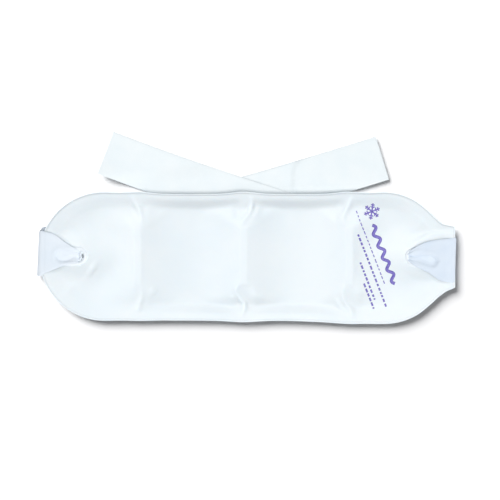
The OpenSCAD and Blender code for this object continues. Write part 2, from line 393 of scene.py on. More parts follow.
def edge_line(x, upper):
    """Half width of the pad at x: full at the welds, drawn in between them."""
    along = np.clip(x, -CORE_X, CORE_X)
    span = WELDS[2] - WELDS[1]
    from_weld = abs((along - WELDS[1] + span / 2) % span - span / 2)
    drawn = 2.2 - 2.2 * np.exp(-((from_weld / 15) ** 2))
    drawn = drawn * ease((CORE_X - abs(along)) / 40)
    drop = 2.6 * ease((along - 20) / 90) - 0.6 * ease((-along - 60) / 60)
    top = 60.0 - drawn - 0.3 * ease((abs(along) - 105) / 25)
    low = 60.9 + drop - 0.35 * drawn + 0.8 * np.exp(-(((along - WELDS[1]) / 25) ** 2))
    return np.where(upper, top, low)


def shaped(place):
    """Moves the grid's flat points to the pad's real outline."""
    x, y = place[..., 0], place[..., 1]
    out_x = np.maximum(0, abs(x) - CORE_X) * np.sign(x)
    near = np.hypot(out_x, y) / END_R
    turn = np.arctan2(y, np.maximum(out_x, 0) + 1e-9)
    right = end_radius(turn) / END_R
    stretch = 1 + (right - 1) * ease((near - 0.35) / 0.65)
    edge = 1 + (edge_line(x, y > 0) / END_R - 1) * near**3
    in_end = ease((x - CORE_X + 12) / 12)
    y_mid = y * edge
    new_x = np.where(x > CORE_X, CORE_X + out_x * stretch, x)
    # just before the round end the two rules are mixed
    lead = np.where(y > 0, UPPER_END[-1][1], LOWER_END[-1][1]) / END_R
    lead = 1 + (lead - 1) * ease((near - 0.35) / 0.65)
    new_y = np.where(x > CORE_X, y * stretch, y_mid * (1 - in_end) + y * lead * in_end)
    return np.stack([new_x, new_y], axis=-1)


# Edges of the fanned strap over each end, as distance from the pad's centre and
# place across: from the gather in the eyelet out to the fold round the end
LEFT_FAN_TOP = [(154, 4.0), (158, 6.4), (168, 12.6), (178, 19.9), (193.3, 23.8)]
LEFT_FAN_LOW = [(154, -4.0), (158, -6.0), (164, -7.2), (184.5, -14.9), (195.2, -18.9)]
RIGHT_FAN_TOP = [(148, 1.4), (155, 6.7), (165, 12.2), (176, 14.8), (196, 17.1)]
RIGHT_FAN_LOW = [(148, -2.4), (157.4, -9.6), (168, -14.6), (180, -22.4), (194.6, -25.2)]
FANS = {-1: (LEFT_FAN_TOP, LEFT_FAN_LOW), 1: (RIGHT_FAN_TOP, RIGHT_FAN_LOW)}
FAN_Z = SEAM_Z + RING_H / 2 + 0.5 + STRAP_T / 2


def beside_fan(x, y):
    """Distance outside the strap fan of the nearest end (negative under it)."""
    out = np.full(x.shape, 1e3)
    for side, (top, low) in FANS.items():
        r = x * side
        inside = np.maximum(y - through(top, r), through(low, r) - y)
        before = top[0][0] - r
        out = np.where(r > 120, np.maximum(inside, before), out)
    return out


def pressed(x, y, rise):
    """Rise of the front film where the strap presses it down."""
    gap = np.maximum(0, beside_fan(x, y))
    # above the right strap the film is tucked down, and falls away from the strap
    tuck = 4.5 * ease((x - 150) / 22) * (y > 0)
    bunched = 1.0 * (1 - ease(gap / (tuck + 0.01))) * ease((188 - x) / 8) * (tuck > 0)
    limit = 0.25 + 0.85 * np.maximum(0, gap - tuck) + 0.25 * (tuck <= 0) + bunched
    return soft_min(rise, limit, 1.2)


# Creases that run on from the ends of the weld bars to the pad's edge: points of
# each, its width, and how deep it cuts into the film's rise (0 to 1)
CREASES = [
    ([(-106, 59), (-103.3, 49), (-99, 41.5), (-97.4, 34), (-99, 26)], 2.4, 0.68),
    ([(-99, -26), (-97, -36), (-99, -44), (-101, -53)], 2.4, 0.58),
    ([(4, 58), (5, 47.5), (2.2, 38.5), (-2.4, 33), (-3.5, 26)], 2.4, 0.74),
    ([(-4.5, -24), (-9.5, -32), (-7, -38.5), (-1.8, -44.5), (-2.8, -52), (-5.3, -60)], 2.0, 0.78),
    ([(98.5, 56), (95.2, 47.2), (92, 41), (90.4, 33), (93.5, 26)], 2.4, 0.68),
    ([(93.5, -25), (90, -34), (91.5, -43), (97, -50), (99.5, -61)], 2.2, 0.66),
]
# Soft swells and dimples beside them: points, width, height
SWELLS = [
    ([(-112, 50), (-106, 40), (-107, 28)], 4.5, 0.7),
    ([(-8, 52), (-9, 42), (-9, 30)], 4.0, 0.8),
    ([(12, 49), (10, 40), (5, 35)], 3.2, -0.8),
    ([(86, 50), (83, 42), (84, 30)], 4.0, 0.6),
    ([(87.5, 38), (86, 33)], 2.4, -0.5),
    ([(-13.5, -36), (-12, -42)], 3.0, -0.6),
    ([(4, -30), (8, -37), (18, -40)], 5.0, -0.9),
    ([(82, -39), (88, -48), (93, -51)], 2.2, -0.7),
    ([(103, -30), (104, -38)], 4.5, -0.6),
    ([(-90, -30), (-84, -36)], 4.5, -0.6),
    ([(-70, -52), (-50, -54), (-30, -52)], 3.0, -0.35),
    ([(20, -52), (45, -54.5), (70, -52)], 3.0, -0.35),
    ([(156, 11), (172, 18), (186, 20.5), (194, 21)], 3.4, -2.2),
    ([(-146, -10), (-140, -14)], 7.0, -1.0),
]


def creased(x, y, rise):
    """Adds the creases and swells where the gel passes the ends of the welds."""
    for points, width, depth in CREASES:
        gap, _, along = near_curve(x, y, points)
        fade = ease(along / 0.12) * ease((1 - along) / 0.12)
        rise = rise * (1 - depth * fade * np.exp(-((gap / width) ** 2)))
    for points, width, height in SWELLS:
        rise = rise + 1.35 * ridge(x, y, points, width, height) * ease(rise / 2.5)
    return np.maximum(rise, 0)


def edge_in(place):
    """Distance inside the pad's edge, before it is drawn in."""
    x, y = place[..., 0], place[..., 1]
    return END_R - np.hypot(np.maximum(0, abs(x) - CORE_X), y)


def rim_curl(place):
    """The welded rim curls up, most between the welds, and not under the strap."""
    x, y = place[..., 0], place[..., 1]
    wave = 0.5 - 0.5 * np.cos((x - WELDS[1]) / (WELDS[2] - WELDS[1]) * 2 * np.pi)
    wave = np.where(abs(x) > 108, ease((abs(x) - 100) / 20), wave)
    free = ease((8 - np.maximum(0, abs(x) - 184)) / 8 + abs(y) / 40)
    lip = 0.2 * ease((4.5 - edge_in(place)) / 3) * (0.35 + 0.65 * wave) * free
    return lip - 2.0 * ease((1.5 - edge_in(place)) / 1.5)


FILM_STEP = 2.6


def film_heights(place, spot, rise):
    """Outer heights of the front and back films."""
    x, y = spot[..., 0], spot[..., 1]
    curl = rim_curl(place)
    inside = ease((edge_in(place) - FLANGE_W - 1) / 13)
    foot = 1.8 * np.clip((edge_in(place) - 1.5) / 9, 0, 1) * (1 - inside)
    corner = 1 - 0.62 * np.exp(-(((x - 182) / 26) ** 2) - ((y - 38) / 22) ** 2)
    corner = corner - 0.4 * np.exp(-(((x - 172) / 26) ** 2) - ((y + 46) / 20) ** 2)
    passage = sum(np.exp(-(((x - w) / 8.5) ** 2)) for w in WELDS) * ease((abs(y) - 22) / 10)
    front = creased(x, y, pressed(x, y, foot + rise * inside * corner * (1 - 0.42 * passage)))
    top = SEAM_Z + FILM_T + curl + soft_min(front, PAD_TOP - SEAM_Z - FILM_T + 0.3, 0.8)
    belly = ease((-26 - y) / 8)
    deepest = SEAM_Z - FILM_T - 0.05 - (1 - belly) * (SPAN_Z + STRAP_T + 0.4)
    low = SEAM_Z - FILM_T + curl - soft_min(rise * 1.2 + curl, deepest, 1.0)
    return top, low, SEAM_Z + curl


def make_films():
    """The six pieces of film: front and back, each in the pad's three zones."""
    place, edge, flat = pad_grid(FILM_STEP)
    x, y = place[..., 0], place[..., 1]
    welded = edge > flat - 1e-6
    for weld in WELDS:
        welded |= (abs(x - weld) <= BAR_W / 2 + 0.01) & (abs(y) <= BAR_L / 2)
    welded |= eyelet_out(x, y) <= 0.3
    mid = (place[:-1, :-1] + place[1:, :-1] + place[1:, 1:] + place[:-1, 1:]) / 4
    hole = eyelet_out(mid[..., 0], mid[..., 1]) < -RING_WALL
    rise = inflate(place, welded, hole)
    rise = np.maximum(0, rise) * (PAD_TOP - SEAM_Z - FILM_T) / np.percentile(rise, 98)
    rise = relax(np.where(welded, 0, rise), welded, 3)
    calm = ease((abs(x) - 104) / 10)
    rise = rise * (1 - calm) + relax(rise, welded, 16) * calm
    fine_place = finer(place)
    fine_rise = np.maximum(0, finer(rise))
    fine_mid = (fine_place[:-1, :-1] + fine_place[1:, 1:]) / 2
    fine_hole = eyelet_out(fine_mid[..., 0], fine_mid[..., 1]) < -RING_WALL + 0.4
    spot = shaped(fine_place)
    top, _, seam = film_heights(fine_place, spot, fine_rise)
    front = np.concatenate([spot, top[..., None]], axis=-1)
    front_in = inner_film(front, seam, np.maximum)
    coarse = shaped(place)
    _, low, seam = film_heights(place, coarse, rise)
    back = np.concatenate([coarse, low[..., None]], axis=-1)[:, ::-1]
    back_in = inner_film(back, seam[:, ::-1], np.minimum)
    limits = [-HALF_L, *CUTS, HALF_L]
    pieces = []
    for zone, word in enumerate(ZONES):
        keep = in_zone(fine_place, fine_hole, limits[zone], limits[zone + 1])
        pieces.append(shell(f"front_film_{word}", front, front_in, keep))
    for zone, word in enumerate(ZONES):
        keep = in_zone(place[:, ::-1], hole[:, ::-1], limits[zone], limits[zone + 1])
        pieces.append(shell(f"back_film_{word}", back, back_in, keep))
    return pieces


def inner_film(grid, seam, limit):
    """The film's other face, which does not pass the seam where the films meet."""
    inner = grid - grid_normals(grid) * FILM_T
    inner[..., 2] = limit(inner[..., 2], seam)
    return inner


def in_zone(place, hole, start, end):
    """The grid cells of a film that lie between two cuts across the pad."""
    middle = (place[:-1, :-1, 0] + place[1:, 1:, 0]) / 2
    return ~hole & (middle > start) & (middle < end)


# ------------------------------------------------------------------ eyelet rings
def make_ring(side):
    """A moulded oval bead, higher at its crown and thin where the films grip it."""
    run = (RING_L - RING_W) / 2
    radius = (RING_W - RING_WALL) / 2
    path = []
    turns = 28
    for centre, first in ((run, -90), (-run, 90)):
        for k in range(turns + 1):
            a = math.radians(first + 180 * k / turns)
            path.append((centre + radius * math.cos(a), radius * math.sin(a), a))
    corners = 16
    points = []
    for px, py, a in path:
        for k in range(corners):
            t = 2 * math.pi * k / corners
            c, s = math.cos(t), math.sin(t)
            out = RING_WALL / 2 * math.copysign(abs(c) ** 0.75, c)
            up = RING_H / 2 * math.copysign(abs(s) ** 0.85, s)
            x = side * EYELET_X + px + out * math.cos(a)
            points.append((x, py + out * math.sin(a) + ring_tilt(x), SEAM_Z + up))
    count = len(path)
    faces = []
    for i in range(count):
        for k in range(corners):
            a, b = i * corners, ((i + 1) % count) * corners
            faces.append((a + k, b + k, b + (k + 1) % corners, a + (k + 1) % corners))
    name = "eyelet_bead_left" if side < 0 else "eyelet_bead_right"
    return mesh_object(name, points, faces)


# ------------------------------------------------------------------------ straps
def band(name, line, half_t):
    """A thin closed band from a grid of points along and across its middle."""
    line = line.copy()
    line[:, [0, -1]] -= 0.5 * half_t * grid_normals(line)[:, [0, -1]]
    half = np.full((*line.shape[:2], 1), half_t)
    half[:, [0, -1]] *= 0.25
    half[:, [1, -2]] *= 0.8
    n = grid_normals(line) * half
    return shell(name, line + n, line - n)


def fan_height(side, r, y):
    """Middle of the strap over an end: pressed on the ring, sunk in its hole."""
    x = r * side
    out = eyelet_out(x, y)
    on_ring = np.exp(-(((out + RING_WALL / 2) / 2.4) ** 2))
    in_hole = ease((-out - RING_WALL + 1.5) / 3)
    z = FAN_Z + 0.45 * on_ring
    if side < 0:
        z = z - 1.2 * in_hole * ease((181 - r) / 9)
        z = z + ridge(x, y, [(-179, -0.8), (-170, -2.4)], 4.2, -1.7)
        z = z + ridge(x, y, [(-172, -6), (-166, -3), (-160, 0.6), (-153, 2)], 1.5, -1.3)
    else:
        gap, way, along = near_curve(x, y, [(149, -0.8), (160, -2.8), (173, -5.0)])
        wide = 1.2 + 4.2 * along
        across = np.clip(-gap * way / wide, -1.3, 1.3)
        bowl = ease((1.25 - abs(across)) / 0.5) * (0.55 - 0.4 * across)
        z = z - (1.2 + 2.6 * along) * bowl
    crown = np.sqrt(np.maximum(0, 1 - ((out + RING_WALL / 2) / (RING_WALL / 2 + 0.6)) ** 2))
    z = np.maximum(z, SEAM_Z + RING_H / 2 * crown + STRAP_T / 2 + 0.15)
    return z - 2.2 * ease((r - 184) / 12)


def wrap_line(side, under_y, under_z):
    """Middle surface of the strap from the eyelet, over the end and to the back."""
    top, low = FANS[side]
    across = 41
    t = np.linspace(0, 1, across)
    start, fold = top[0][0], top[-1][0]
    rows = []
    # up through the hole
    gather_y = (top[0][1] + low[0][1]) / 2
    pleat = 1.1 * np.sin(2 * np.pi * (2 if side < 0 else 3) * t)
    inner = EYELET_X - RING_L / 2 + RING_WALL + 1.5
    for k in range(8):
        z = SPAN_Z + STRAP_T + (FAN_Z - SPAN_Z - STRAP_T - 0.9) * k / 8
        r = inner + (start + 1.5 - inner) * (k / 8) ** 3 + 0.4 * pleat
        rows.append(np.stack([r, gather_y + GATHER_HALF * (2 * t - 1), np.full(across, z)], 1))
    # the fan
    count = 44
    for k in range(count + 1):
        u = k / count
        r = start + 1.5 + (fold - 5 - start - 1.5) * u
        a, b = through(low, np.array([r]))[0], through(top, np.array([r]))[0]
        y = a + (b - a) * t
        z = fan_height(side, np.full(across, r), y)
        pleats = 0.5 * (1 - ease(u / 0.4)) * pleat
        dive = 2.2 * (1 - ease(u / 0.16)) ** 2
        rows.append(np.stack([np.full(across, r), y, z + pleats - dive], 1))
    # round the end, then under it
    y_low, y_top = low[-1][1], top[-1][1]
    edge_z = fan_height(side, np.full(across, fold - 5), np.array(rows[-1][:, 1]))
    bottom = under_z + STRAP_T / 2
    turns = 14
    for k in range(1, turns + 1):
        a = math.pi * k / turns
        shift = ease((k / turns - 0.5) * 2)
        centre = (y_low + y_top) / 2 * (1 - shift) + under_y * shift
        y = centre + STRAP_W / 2 * (2 * t - 1)
        mid_z = (edge_z + bottom) / 2
        high = (edge_z - bottom) / 2
        reach = low[-1][0] + (top[-1][0] - low[-1][0]) * t - STRAP_T / 2
        r = fold - 5 + (reach - fold + 5) * math.sin(a) ** 0.7
        rows.append(np.stack([r, y, mid_z + high * math.cos(a)], 1))
    for k in range(1, 6):
        r = fold - 5 - (fold - 5 - WRAP_END) * k / 5
        y = under_y + STRAP_W / 2 * (2 * t - 1)
        rows.append(np.stack([np.full(across, r), y, np.full(across, bottom)], 1))
    line = np.array(rows)
    line[..., 0] *= side
    return line if side > 0 else line[:, ::-1]


def centre_y(line, x):
    return line[0] + line[1] * x + line[2] * x * x


def centre_slope(line, x):
    return line[1] + 2 * line[2] * x


def tail_grid(line, start, end, z_of):
    """Middle surface of a tail. Its rows turn from straight across the pad, where
    it leaves the end, to square across the tail."""
    count = round(abs(end - start) / 2.2)
    half = STRAP_W / 2
    inner = np.linspace(1.4 - half, half - 1.4, 17)
    s = np.concatenate([[-half, 0.5 - half], inner, [half - 0.5, half]])
    grid = np.zeros((count + 1, len(s), 3))
    for k in range(count + 1):
        x = start + (end - start) * k / count
        slope = centre_slope(line, x) * ease(abs(x - start) / 30)
        n = math.hypot(1, slope)
        grid[k, :, 0] = x - s * slope / n
        grid[k, :, 1] = centre_y(line, x) + s / n
    grid[..., 2] = z_of(grid[..., 0], grid[..., 1])
    return grid if end > start else grid[:, ::-1]


def at_slope(fold):
    (ax, ay), (bx, by) = fold
    return (by - ay) / (bx - ax)


def at_fold(fold, x):
    """Where a lifting line is across the pad, at x along it."""
    return fold[0][1] + (x - fold[0][0]) * at_slope(fold)


def tab_in(x, y):
    """Distance inside the rounded end of the tab that lies under the right end."""
    over = x - TAB_START[0]
    rise = y - TAB_START[1] - 0.3 * np.maximum(0, over)
    return TAB_R - np.hypot(np.minimum(0, over), 0.88 * np.maximum(0, rise))


def end_lift(x):
    """The folded end of the right tail stands a little off the table."""
    return 1.3 * ease((x - 62) / 60)


def right_tail_z(x, y):
    """The right tail lies lowest, and climbs onto its own folded end."""
    climb = ease((tab_in(x, y) + 1.0) / 2.4) * ease((y - 59) / 4) * ease((x - 30) / 5)
    wave = 0.25 * np.sin(x / 21 + y / 17)
    z = REAR_Z + STRAP_T / 2 + FOLD_RISE * climb + 0.05 + end_lift(x) * ease((y - 59) / 6)
    return z + wave * ease((y - 62) / 10) * (1 - climb)


def left_tail_z(x, y):
    """The left tail lies on the right one, then sinks to the table and curls a
    little at its free corner."""
    clear = ease((y - at_fold(LEFT_FOLD, x)) / 18) * ease((-18 - x) / 30)
    curl = 5.0 * ease((-80 - x) / 52) + 0.8 * ease((90 - y) / 25) * ease((-60 - x) / 40)
    wave = 0.25 * np.sin(x / 19 - y / 15)
    sink = NEXT_Z - REAR_Z - 0.15
    return NEXT_Z + STRAP_T / 2 - (sink - wave - curl) * clear


def resharpen(piece):
    """Flat shading breaks only at real edges, after a piece has been cut."""
    if "custom_normal" in piece.data.attributes:
        piece.data.attributes.remove(piece.data.attributes["custom_normal"])
    piece.data.set_sharp_from_angle(angle=math.radians(40))


def cut_off(piece, co, no):
    """Cuts a piece by a plane, given in the pad's frame, and closes the cut. What
    lies on the side that the normal points to goes."""
    bm = bmesh.new()
    bm.from_mesh(piece.data)
    done = bmesh.ops.bisect_plane(
        bm,
        geom=[*bm.verts, *bm.edges, *bm.faces],
        plane_co=(co[0] * MM, (co[1] + PAD_Y) * MM, 0),
        plane_no=no,
        clear_outer=True,
    )
    rim = [e for e in done["geom_cut"] if isinstance(e, bmesh.types.BMEdge)]
    bmesh.ops.edgenet_fill(bm, edges=rim)
    bm.to_mesh(piece.data)
    bm.free()


def score(piece, co, no, gaps):
    """Adds edges across a piece, at distances from a plane, so that it can bend."""
    bm = bmesh.new()
    bm.from_mesh(piece.data)
    for gap in gaps:
        bmesh.ops.bisect_plane(
            bm,
            geom=[*bm.verts, *bm.edges, *bm.faces],
            plane_co=Vector((co[0], co[1] + PAD_Y, 0)) * MM + Vector(no) * gap * MM,
            plane_no=no,
        )
    bm.to_mesh(piece.data)
    bm.free()


def copy_of(piece, name):
    mesh = piece.data.copy()
    mesh.name = name
    return in_scene(name, mesh)


def fold_normal(fold):
    """Unit vector across a lifting line, towards the free end."""
    (ax, ay), (bx, by) = fold
    n = Vector((ay - by, bx - ax, 0)).normalized()
    return n if n.y > 0 else -n


def zone_copy(whole, name, start, end):
    """The stretch of a piece between two cuts across the pad."""
    piece = copy_of(whole, name)
    if start is not None:
        cut_off(piece, (start, 0), (-1, 0, 0))
    if end is not None:
        cut_off(piece, (end, 0), (1, 0, 0))
    resharpen(piece)
    return piece


def fold_foot(fold):
    """A point of the cut just before a lifting line."""
    return Vector((*fold[0], 0)) - fold_normal(fold) * LIFT_BAND


def free_end(whole, name, fold):
    """The part of a tail past its lifting line."""
    n = fold_normal(fold)
    piece = copy_of(whole, name)
    cut_off(piece, fold_foot(fold), -n)
    out = math.copysign(1, fold[0][0])
    cut_off(piece, (fold[0][0] - out * 8, 0), (-out, 0, 0))
    score(piece, fold[0], n, [-1.0, -0.5, 0, 0.5, 1.0, LIFT_BAND])
    resharpen(piece)
    return piece


def make_tab():
    """The folded end under the right tail: a flat layer with one rounded corner,
    and the bend that joins it to the layer above."""
    line = RIGHT_TAIL
    low_z = REAR_Z + STRAP_T / 2
    rows = []
    share = np.linspace(0, 1, 21)

    def row(x, out, z, s_low, s_high):
        slope = centre_slope(line, x)
        n = math.hypot(1, slope)
        s = s_low + (s_high - s_low) * share
        return np.stack(
            [
                x + out / n - s * slope / n,
                centre_y(line, x) + out * slope / n + s / n,
                z + end_lift(x) + 0 * s,
            ],
            axis=1,
        )

    bends = 10
    half = STRAP_W / 2
    for k in range(bends + 1):
        a = math.pi * k / bends
        out = FOLD_RISE / 2 * math.sin(a)
        rows.append(row(RIGHT_END_X, out, low_z + FOLD_RISE * (1 + math.cos(a)) / 2, -half, half))
    inner_x = TAB_START[0] - TAB_R
    count = 36
    for k in range(1, count + 1):
        x = RIGHT_END_X + (inner_x - RIGHT_END_X) * k / count
        slope = centre_slope(line, x)
        n = math.hypot(1, slope)
        rise = slope / n * at_slope(RIGHT_FOLD) + 1 / n
        low = (at_fold(RIGHT_FOLD, x) + 1.2 - centre_y(line, x)) / rise
        turn = max(0, TAB_START[0] - x)
        high = half - 0.3 - TAB_R + math.sqrt(max(0.5, TAB_R**2 - turn**2))
        rows.append(row(x, 0, low_z, max(-half, low), high))
    return band("strap_folded_tab", np.array(rows), STRAP_T / 2)


def make_hook_patch():
    """A stitched patch of hook tape with rounded corners."""
    x = HOOK_X
    slope = centre_slope(RIGHT_TAIL, x)
    n = math.hypot(1, slope)
    along = np.linspace(-1, 1, 33)
    across = np.linspace(-1, 1, 21)
    half_l, half_w, corner = HOOK_L / 2, HOOK_W / 2, 3.0
    rows = []
    for u in along:
        over = max(0, abs(u) * half_l - (half_l - corner))
        narrow = corner - math.sqrt(max(0, corner**2 - over**2))
        s = across * (half_w - narrow) + HOOK_RISE
        px = x + (u * half_l - s * slope) / n
        py = centre_y(RIGHT_TAIL, x) + (u * half_l * slope + s) / n
        edge = np.maximum(abs(u) ** 14, abs(across) ** 10)
        top = REAR_Z + STRAP_T + end_lift(px) + 0.32 - 0.1 * edge
        rows.append(np.stack([px, py, top], axis=1))
    grid = np.array(rows)
    floor = grid.copy()
    floor[..., 2] = REAR_Z + STRAP_T + end_lift(grid[..., 0]) + 0.02
    return shell("hook_tape", grid, floor)


def make_span():
    """The straight run of the strap behind the pad, gathered at both eyelets."""
    count = round(2 * SPAN_REACH / 2.4)
    t = np.linspace(0, 1, 21)
    grid = np.zeros((count + 1, len(t), 3))
    for k in range(count + 1):
        x = -SPAN_REACH + 2 * SPAN_REACH * k / count
        gather = ease((SPAN_REACH - abs(x)) / 30)
        half = GATHER_HALF + (STRAP_W / 2 - GATHER_HALF) * gather
        grid[k, :, 0] = x
        grid[k, :, 1] = half * (2 * t - 1)
        pleat = 0.3 * (1 - gather) * np.sin(2 * np.pi * 3 * t)
        grid[k, :, 2] = SPAN_Z + STRAP_T / 2 + pleat
    return band("strap_span_whole", grid, STRAP_T / 2)


# ------------------------------------------------------------------ printed marks
PRINT_WAY = Vector((0.359, -0.933))
INK_T = 0.07


def strip(points, width):
    """Three rows of points along a line, for a printed stroke."""
    p = np.array(points, float)
    way = np.gradient(p, axis=0)
    way /= np.maximum(np.hypot(*way.T), 1e-9)[:, None]
    side = np.stack([-way[:, 1], way[:, 0]], axis=1) * width / 2
    return np.stack([p - side, p, p + side], axis=1)


def stroke(a, b, width):
    a, b = np.array(a, float), np.array(b, float)
    count = max(2, math.ceil(np.hypot(*(b - a)) / 0.9) + 1)
    return strip([a + (b - a) * k / (count - 1) for k in range(count)], width)


def snowflake(centre, size):
    """Six arms, each with two pairs of side branches."""
    strokes = []
    c = np.array(centre, float)
    for k in range(6):
        a = math.radians(60 * k + 21)
        arm = np.array([math.cos(a), math.sin(a)])
        strokes.append(stroke(c, c + arm * size, 1.3))
        for share, reach in ((0.45, 0.3), (0.72, 0.26)):
            for turn in (-60, 60):
                b = a + math.radians(turn)
                start = c + arm * size * share
                tip = start + np.array([math.cos(b), math.sin(b)]) * size * reach
                strokes.append(stroke(start, tip, 1.0))
    return strokes


def wave(start, length, swing, width):
    """A bold wavy band along the print's direction."""
    way = np.array(PRINT_WAY)
    side = np.array([-way[1], way[0]])
    count = round(length / 0.7)
    beats = 5
    line = [
        np.array(start)
        + way * length * k / count
        + side * swing * math.sin(2 * math.pi * beats * k / count)
        for k in range(count + 1)
    ]
    return strip(line, width)


def dashes(start, length, width, seed):
    """A row of thin dashes of uneven length."""
    rng = np.random.default_rng(seed)
    strokes = []
    at = 0.0
    way = np.array(PRINT_WAY)
    while at < length - 1:
        size = min(length - at, 1.6 + 2.2 * rng.random())
        first = np.array(start, float) + way * at
        strokes.append(stroke(first, first + way * size, width))
        at += size + 1.0 + 0.8 * rng.random()
    return strokes


# Rows of dashes: where each starts, its length and its width
DASHES = [
    ((102.2, 42), 75, 0.9),
    ((104, 20), 74, 1.7),
    ((106, -6), 37, 1.7),
    ((109.4, -25.6), 25, 1.7),
]


def print_strokes():
    strokes = snowflake((116.6, 41.4), 7.6)
    strokes.append(wave((117, 28.6), 58, 2.3, 3.0))
    for n, row in enumerate(DASHES):
        strokes += dashes(*row, seed=n + 1)
    return strokes


def make_print(film):
    """Ink marks laid on the right end's film, each a thin closed patch."""
    mesh = film.data
    mesh.calc_loop_triangles()
    spots = [v.co.copy() for v in mesh.vertices]
    tree = BVHTree.FromPolygons(spots, [tuple(t.vertices) for t in mesh.loop_triangles])
    points, faces = [], []
    for rows in print_strokes():
        n, wide = rows.shape[:2]
        first = len(points)
        heights = []
        for x, y in rows.reshape(-1, 2):
            hit = tree.ray_cast(Vector((x * MM, (y + PAD_Y) * MM, 0.05)), Vector((0, 0, -1)))
            heights.append(hit[0].z / MM)
        for lift in (INK_T, -0.02):
            for (x, y), z in zip(rows.reshape(-1, 2), heights):
                points.append((x, y, z + lift))
        index = first + np.arange(n * wide).reshape(n, wide)
        top = quads_of(np.ones((n - 1, wide - 1), bool), index)
        faces += top + [tuple(v + n * wide for v in reversed(f)) for f in top]
        rim = [*index[:, 0], *index[-1, 1:], *index[-2::-1, -1], *index[0, -2:0:-1]]
        for a, b in zip(rim, rim[1:] + rim[:1]):
            faces.append((b, a, a + n * wide, b + n * wide))
    faces = [tuple(int(v) for v in f) for f in faces]
    return mesh_object("printed_marks", points, faces)


# --------------------------------------------------------------------- materials
def nodes_of(name):
    """A new material, its nodes, its surface, and a place on the piece."""
    material = bpy.data.materials.new(name)
    material.use_nodes = True
    tree = material.node_tree
    where = tree.nodes.new("ShaderNodeTexCoord").outputs["Object"]
    return material, tree, tree.nodes["Principled BSDF"], where


def set_values(node, values):
    for name, value in values.items():
        node.inputs[name].default_value = value


def texture(tree, where, kind, scale, **values):
    node = tree.nodes.new(f"ShaderNodeTex{kind}")
    set_values(node, {"Scale": scale, **values})
    tree.links.new(where, node.inputs["Vector"])
    return node


def colour(tree, bsdf, source, dark, pale, start=0.0, end=1.0):
    """Colours the surface from one shade to another, by a texture."""
    ramp = tree.nodes.new("ShaderNodeValToRGB")
    stops = ramp.color_ramp.elements
    for stop, place, shade in zip(stops, (start, end), (dark, pale)):
        stop.position = place
        stop.color = (*shade, 1)
    tree.links.new(source, ramp.inputs["Fac"])
    tree.links.new(ramp.outputs["Color"], bsdf.inputs["Base Color"])


def bump(tree, bsdf, height, strength, distance, invert=False):
    """Raises the surface by a texture, on top of any bump it already has."""
    node = tree.nodes.new("ShaderNodeBump")
    node.invert = invert
    set_values(node, {"Strength": strength, "Distance": distance})
    tree.links.new(height, node.inputs["Height"])
    for before in bsdf.inputs["Normal"].links:
        tree.links.new(before.from_socket, node.inputs["Normal"])
    tree.links.new(node.outputs["Normal"], bsdf.inputs["Normal"])


def film_material():
    """Soft film: milky, a little cloudy, its gloss uneven, with a fine grain."""
    material, tree, bsdf, where = nodes_of("soft_film")
    cloud = texture(tree, where, "Noise", 22.0, Detail=3.0)
    grain = texture(tree, where, "Noise", 900.0, Detail=2.0)
    swell = texture(tree, where, "Noise", 90.0, Detail=2.0)
    dark, pale = (0.835, 0.9, 0.945), (0.872, 0.925, 0.958)
    colour(tree, bsdf, cloud.outputs["Fac"], dark, pale, 0.35, 0.65)
    rough = tree.nodes.new("ShaderNodeMapRange")
    set_values(rough, {"To Min": 0.38, "To Max": 0.56})
    tree.links.new(swell.outputs["Fac"], rough.inputs["Value"])
    tree.links.new(rough.outputs["Result"], bsdf.inputs["Roughness"])
    bump(tree, bsdf, grain.outputs["Fac"], 0.25, 0.00012)
    bump(tree, bsdf, swell.outputs["Fac"], 0.35, 0.0006)
    set_values(bsdf, {"Specular IOR Level": 0.35, "Subsurface Weight": 0.12})
    set_values(bsdf, {"Subsurface Radius": (0.004, 0.005, 0.006)})
    return material


def strap_material(name, dark, pale):
    """Fine brushed knit: small loops and a soft nap."""
    material, tree, bsdf, where = nodes_of(name)
    nap = texture(tree, where, "Noise", 1500.0, Detail=3.0)
    loops = texture(tree, where, "Voronoi", 1300.0)
    cloud = texture(tree, where, "Noise", 60.0, Detail=2.0)
    colour(tree, bsdf, cloud.outputs["Fac"], dark, pale, 0.3, 0.7)
    bump(tree, bsdf, loops.outputs["Distance"], 0.4, 0.00015)
    bump(tree, bsdf, nap.outputs["Fac"], 0.35, 0.0002)
    set_values(bsdf, {"Roughness": 0.85, "Sheen Weight": 0.25, "Sheen Roughness": 0.4})
    return material


def ring_material():
    """Moulded plastic with a faint swirl."""
    material, tree, bsdf, where = nodes_of("eyelet_plastic")
    cloud = texture(tree, where, "Noise", 180.0, Detail=2.0)
    colour(tree, bsdf, cloud.outputs["Fac"], (0.82, 0.88, 0.94), (0.9, 0.94, 0.97))
    bump(tree, bsdf, cloud.outputs["Fac"], 0.15, 0.0002)
    set_values(bsdf, {"Roughness": 0.28})
    return material


def ink_material():
    """Violet screen ink, thin enough to vary a little."""
    material, tree, bsdf, where = nodes_of("violet_ink")
    cloud = texture(tree, where, "Noise", 700.0, Detail=3.0)
    dark, pale = (0.16, 0.12, 0.52), (0.28, 0.24, 0.64)
    colour(tree, bsdf, cloud.outputs["Fac"], dark, pale, 0.35, 0.7)
    set_values(bsdf, {"Roughness": 0.45})
    return material


def hook_material():
    """Hook tape: close rows of tiny moulded hooks, with painted shade in the gaps between them.
    """
    material, tree, bsdf, where = nodes_of("hook_tape")
    hooks = texture(tree, where, "Voronoi", 1100.0)
    # painted shade: the low gaps between the hooks are coloured darker than the hook tips
    tips, gaps = (0.9, 0.92, 0.94), (0.55, 0.58, 0.62)
    colour(tree, bsdf, hooks.outputs["Distance"], tips, gaps, end=0.7)
    bump(tree, bsdf, hooks.outputs["Distance"], 0.9, 0.0006, invert=True)
    set_values(bsdf, {"Roughness": 0.6})
    return material


